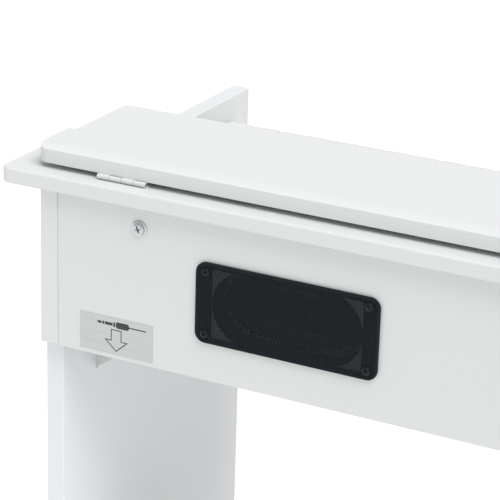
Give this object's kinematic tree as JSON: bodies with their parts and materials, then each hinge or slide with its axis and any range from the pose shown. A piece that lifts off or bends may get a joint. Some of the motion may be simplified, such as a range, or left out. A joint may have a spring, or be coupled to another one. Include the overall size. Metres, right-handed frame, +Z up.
{
  "type": "digital piano",
  "caption": "Slim white digital piano with a folding lid over its top board, on a stand of two plain side legs with a rear stretcher and sprung pedals.",
  "frame": {"origin": "on the floor, under the middle of the whole piano", "axes": "+X along the keyboard towards the treble end, +Y towards the rear, +Z up"},
  "size_m": [1.318, 0.313, 0.7786],
  "materials": {
    "white_satin": "satin white foil on board",
    "white_plastic": "fine matt",
    "key_white": "gloss",
    "key_black": "satin",
    "black_plastic": "matt",
    "window_glass": "clear",
    "grille_black": "satin black, perforated",
    "black_steel": "black oxide",
    "bright_steel": "bright zinc",
    "plated_steel": "zinc plated",
    "hinge_white": "white paint",
    "label_foil": "brushed silver grey",
    "circuit_green": "solder mask",
    "paper_cone": "black pulp",
    "grey_rubber": "matt",
    "pedal_brass": "polished"
  },
  "bodies": {
    "case": {"side_panel_treble": "white_satin", "side_panel_bass": "white_satin", "rear_panel": "white_satin", "bottom_board": "white_satin", "top_board": "white_satin", "fallboard": "white_satin", "key_slip": "white_satin", "key_frame": "plated_steel", "key_shaft": "bright_steel", "contact_strip": "circuit_green", "main_board": "circuit_green", "amplifier_board": "circuit_green", "speaker_baskets": "black_steel", "speaker_cones": "paper_cone", "speaker_grilles": "grille_black", "grille_screws": "black_steel", "rear_screws": "bright_steel", "label_plate": "label_foil", "control_plate": "black_plastic", "display_window": "window_glass", "pedal_jack": "black_plastic", "power_inlet": "black_plastic", "headphone_jacks": "black_plastic", "hinge_leaves_fixed": "hinge_white", "hinge_pins": "bright_steel", "leg_treble": "white_satin", "leg_bass": "white_satin", "rear_stretcher": "white_satin", "pedal_board": "white_satin", "pedal_housing": "white_plastic", "pedal_axle": "bright_steel", "corner_brackets": "plated_steel", "stand_screws": "black_steel", "foot_glides": "grey_rubber"},
    "lid": {"lid_rail": "white_satin", "lid_panel": "white_satin", "hinge_leaves_moving": "hinge_white", "lid_bumpers": "grey_rubber"},
    "power_button": {"power_button": "white_plastic"},
    "voice_button": {"voice_button": "white_plastic"},
    "function_button": {"function_button": "white_plastic"},
    "volume_slider": {"volume_slider": "white_plastic"},
    "pedal_left": {"pedal_left": "pedal_brass"},
    "pedal_middle": {"pedal_middle": "pedal_brass"},
    "pedal_right": {"pedal_right": "pedal_brass"},
    "adjuster_foot": {"adjuster_foot": "grey_rubber"},
    "white_keys": {"white_keys": "key_white"},
    "black_keys": {"black_keys": "key_black"},
    "key_c4": {"key_c4": "key_white"},
    "key_cs4": {"key_cs4": "key_black"},
    "key_d4": {"key_d4": "key_white"},
    "key_ds4": {"key_ds4": "key_black"},
    "key_e4": {"key_e4": "key_white"},
    "key_f4": {"key_f4": "key_white"},
    "key_fs4": {"key_fs4": "key_black"},
    "key_g4": {"key_g4": "key_white"},
    "key_gs4": {"key_gs4": "key_black"},
    "key_a4": {"key_a4": "key_white"},
    "key_as4": {"key_as4": "key_black"},
    "key_b4": {"key_b4": "key_white"}
  },
  "joints": [
    {"name": "lid_hinge", "type": "hinge", "parent": "case", "child": "lid", "pos_m": [0, 0.143, 0.7642], "axis": [-1, 0, 0], "range_deg": [0, 95]},
    {"name": "power_button_press", "type": "slide", "parent": "case", "child": "power_button", "axis": [0, 0, -1], "range_m": [0, 0.0012], "stiffness_N_per_m": 500, "springref_m": -0.001},
    {"name": "voice_button_press", "type": "slide", "parent": "case", "child": "voice_button", "axis": [0, 0, -1], "range_m": [0, 0.001], "stiffness_N_per_m": 500, "springref_m": -0.001},
    {"name": "function_button_press", "type": "slide", "parent": "case", "child": "function_button", "axis": [0, 0, -1], "range_m": [0, 0.001], "stiffness_N_per_m": 500, "springref_m": -0.001},
    {"name": "volume_slide", "type": "slide", "parent": "case", "child": "volume_slider", "axis": [-1, 0, 0], "range_m": [-0.024, 0.024]},
    {"name": "adjuster_travel", "type": "slide", "parent": "case", "child": "adjuster_foot", "axis": [0, 0, 1], "range_m": [0, 0.01]},
    {"name": "pedal_left_press", "type": "hinge", "parent": "case", "child": "pedal_left", "pos_m": [0, -0.0175, 0.073], "axis": [1, 0, 0], "range_deg": [0, 8], "stiffness_Nm_per_rad": 15, "springref_deg": -5.73},
    {"name": "pedal_middle_press", "type": "hinge", "parent": "case", "child": "pedal_middle", "pos_m": [0, -0.0175, 0.073], "axis": [1, 0, 0], "range_deg": [0, 8], "stiffness_Nm_per_rad": 15, "springref_deg": -5.73},
    {"name": "pedal_right_press", "type": "hinge", "parent": "case", "child": "pedal_right", "pos_m": [0, -0.0175, 0.073], "axis": [1, 0, 0], "range_deg": [0, 8], "stiffness_Nm_per_rad": 15, "springref_deg": -5.73},
    {"name": "white_keys_dip", "type": "hinge", "parent": "case", "child": "white_keys", "pos_m": [0, 0.1135, 0.718], "axis": [1, 0, 0], "range_deg": [0, 2.4], "stiffness_Nm_per_rad": 90, "springref_deg": -5.73},
    {"name": "black_keys_dip", "type": "hinge", "parent": "case", "child": "black_keys", "pos_m": [0, 0.1135, 0.718], "axis": [1, 0, 0], "range_deg": [0, 2.4], "stiffness_Nm_per_rad": 46.5, "springref_deg": -5.73},
    {"name": "key_c4_dip", "type": "hinge", "parent": "case", "child": "key_c4", "pos_m": [0, 0.1135, 0.718], "axis": [1, 0, 0], "range_deg": [0, 2.4], "stiffness_Nm_per_rad": 2, "springref_deg": -5.73},
    {"name": "key_cs4_dip", "type": "hinge", "parent": "case", "child": "key_cs4", "pos_m": [0, 0.1135, 0.718], "axis": [1, 0, 0], "range_deg": [0, 2.4], "stiffness_Nm_per_rad": 1.5, "springref_deg": -5.73},
    {"name": "key_d4_dip", "type": "hinge", "parent": "case", "child": "key_d4", "pos_m": [0, 0.1135, 0.718], "axis": [1, 0, 0], "range_deg": [0, 2.4], "stiffness_Nm_per_rad": 2, "springref_deg": -5.73},
    {"name": "key_ds4_dip", "type": "hinge", "parent": "case", "child": "key_ds4", "pos_m": [0, 0.1135, 0.718], "axis": [1, 0, 0], "range_deg": [0, 2.4], "stiffness_Nm_per_rad": 1.5, "springref_deg": -5.73},
    {"name": "key_e4_dip", "type": "hinge", "parent": "case", "child": "key_e4", "pos_m": [0, 0.1135, 0.718], "axis": [1, 0, 0], "range_deg": [0, 2.4], "stiffness_Nm_per_rad": 2, "springref_deg": -5.73},
    {"name": "key_f4_dip", "type": "hinge", "parent": "case", "child": "key_f4", "pos_m": [0, 0.1135, 0.718], "axis": [1, 0, 0], "range_deg": [0, 2.4], "stiffness_Nm_per_rad": 2, "springref_deg": -5.73},
    {"name": "key_fs4_dip", "type": "hinge", "parent": "case", "child": "key_fs4", "pos_m": [0, 0.1135, 0.718], "axis": [1, 0, 0], "range_deg": [0, 2.4], "stiffness_Nm_per_rad": 1.5, "springref_deg": -5.73},
    {"name": "key_g4_dip", "type": "hinge", "parent": "case", "child": "key_g4", "pos_m": [0, 0.1135, 0.718], "axis": [1, 0, 0], "range_deg": [0, 2.4], "stiffness_Nm_per_rad": 2, "springref_deg": -5.73},
    {"name": "key_gs4_dip", "type": "hinge", "parent": "case", "child": "key_gs4", "pos_m": [0, 0.1135, 0.718], "axis": [1, 0, 0], "range_deg": [0, 2.4], "stiffness_Nm_per_rad": 1.5, "springref_deg": -5.73},
    {"name": "key_a4_dip", "type": "hinge", "parent": "case", "child": "key_a4", "pos_m": [0, 0.1135, 0.718], "axis": [1, 0, 0], "range_deg": [0, 2.4], "stiffness_Nm_per_rad": 2, "springref_deg": -5.73},
    {"name": "key_as4_dip", "type": "hinge", "parent": "case", "child": "key_as4", "pos_m": [0, 0.1135, 0.718], "axis": [1, 0, 0], "range_deg": [0, 2.4], "stiffness_Nm_per_rad": 1.5, "springref_deg": -5.73},
    {"name": "key_b4_dip", "type": "hinge", "parent": "case", "child": "key_b4", "pos_m": [0, 0.1135, 0.718], "axis": [1, 0, 0], "range_deg": [0, 2.4], "stiffness_Nm_per_rad": 2, "springref_deg": -5.73}
  ]
}
